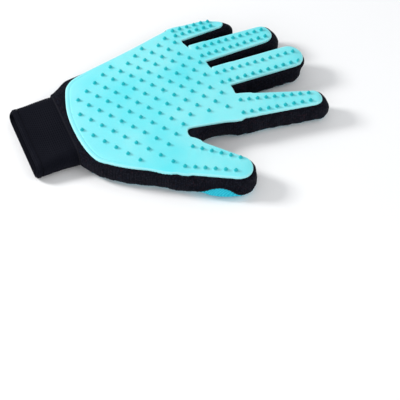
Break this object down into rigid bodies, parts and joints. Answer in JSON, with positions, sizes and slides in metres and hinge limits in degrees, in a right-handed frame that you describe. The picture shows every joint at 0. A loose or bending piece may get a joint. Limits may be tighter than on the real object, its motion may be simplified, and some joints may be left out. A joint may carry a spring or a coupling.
{
  "type": "pet grooming glove",
  "caption": "Right-hand pet grooming glove with a tipped silicone palm, a mesh back, knitted side walls, digits that bend and a stretch cuff.",
  "frame": {"origin": "on the resting plane under the middle of the palm, with the glove lying on its back", "axes": "+X from the cuff to the fingertips, +Y towards the little finger, +Z out of the palm through the silicone"},
  "size_m": [0.2335, 0.1703, 0.0228],
  "materials": {
    "silicone": "soft satin, slightly see-through",
    "mesh": "airy mesh",
    "knit": "matte knit",
    "rib_knit": "matte elastic rib",
    "thread": "stitched thread"
  },
  "bodies": {
    "hand": {"palm_pad": "silicone", "palm_knit": "knit", "pinky_side_strip": "knit", "thumb_side_strip": "knit", "thumb_web_strip": "knit", "index_middle_web": "knit", "middle_ring_web": "knit", "ring_pinky_web": "knit", "back_mesh": "mesh", "wrist_seam": "thread"},
    "cuff": {"cuff_band": "rib_knit", "cuff_hem": "rib_knit", "cuff_side_seam": "thread"},
    "thumb_base": {"thumb_base_pad": "silicone", "thumb_base_knit": "knit", "thumb_base_back": "mesh"},
    "thumb_tip": {"thumb_tip_pad": "silicone", "thumb_tip_knit": "knit", "thumb_tip_back": "mesh"},
    "index_base": {"index_base_pad": "silicone", "index_base_knit": "knit", "index_base_back": "mesh"},
    "index_tip": {"index_tip_pad": "silicone", "index_tip_knit": "knit", "index_tip_back": "mesh"},
    "middle_base": {"middle_base_pad": "silicone", "middle_base_knit": "knit", "middle_base_back": "mesh"},
    "middle_tip": {"middle_tip_pad": "silicone", "middle_tip_knit": "knit", "middle_tip_back": "mesh"},
    "ring_base": {"ring_base_pad": "silicone", "ring_base_knit": "knit", "ring_base_back": "mesh"},
    "ring_tip": {"ring_tip_pad": "silicone", "ring_tip_knit": "knit", "ring_tip_back": "mesh"},
    "pinky_base": {"pinky_base_pad": "silicone", "pinky_base_knit": "knit", "pinky_base_back": "mesh"},
    "pinky_tip": {"pinky_tip_pad": "silicone", "pinky_tip_knit": "knit", "pinky_tip_back": "mesh"}
  },
  "joints": [
    {"name": "wrist_bend", "type": "hinge", "parent": "hand", "child": "cuff", "pos_m": [-0.074, 0, 0.0174], "axis": [0, 1, 0], "range_deg": [0, 50]},
    {"name": "thumb_knuckle_bend", "type": "hinge", "parent": "hand", "child": "thumb_base", "pos_m": [0.00531, -0.07139, 0.0204], "axis": [-0.6157, -0.788, 0], "range_deg": [0, 50]},
    {"name": "thumb_middle_bend", "type": "hinge", "parent": "thumb_base", "child": "thumb_tip", "pos_m": [0.02292, -0.08515, 0.0204], "axis": [-0.6157, -0.788, 0], "range_deg": [0, 70]},
    {"name": "index_knuckle_bend", "type": "hinge", "parent": "hand", "child": "index_base", "pos_m": [0.0682, -0.038, 0.0204], "axis": [-0.23, -0.9732, 0], "range_deg": [0, 75]},
    {"name": "index_middle_bend", "type": "hinge", "parent": "index_base", "child": "index_tip", "pos_m": [0.09409, -0.04412, 0.0204], "axis": [-0.23, -0.9732, 0], "range_deg": [0, 75]},
    {"name": "middle_knuckle_bend", "type": "hinge", "parent": "hand", "child": "middle_base", "pos_m": [0.06985, -0.00075, 0.0204], "axis": [0, -1, 0], "range_deg": [0, 75]},
    {"name": "middle_middle_bend", "type": "hinge", "parent": "middle_base", "child": "middle_tip", "pos_m": [0.09565, -0.00075, 0.0204], "axis": [0, -1, 0], "range_deg": [0, 75]},
    {"name": "ring_knuckle_bend", "type": "hinge", "parent": "hand", "child": "ring_base", "pos_m": [0.0591, 0.02939, 0.0204], "axis": [0.014, -0.9999, 0], "range_deg": [0, 75]},
    {"name": "ring_middle_bend", "type": "hinge", "parent": "ring_base", "child": "ring_tip", "pos_m": [0.0835, 0.02973, 0.0204], "axis": [0.014, -0.9999, 0], "range_deg": [0, 75]},
    {"name": "pinky_knuckle_bend", "type": "hinge", "parent": "hand", "child": "pinky_base", "pos_m": [0.0479, 0.05524, 0.0204], "axis": [0.0087, -1, 0], "range_deg": [0, 75]},
    {"name": "pinky_middle_bend", "type": "hinge", "parent": "pinky_base", "child": "pinky_tip", "pos_m": [0.06605, 0.0554, 0.0204], "axis": [0.0087, -1, 0], "range_deg": [0, 75]}
  ]
}
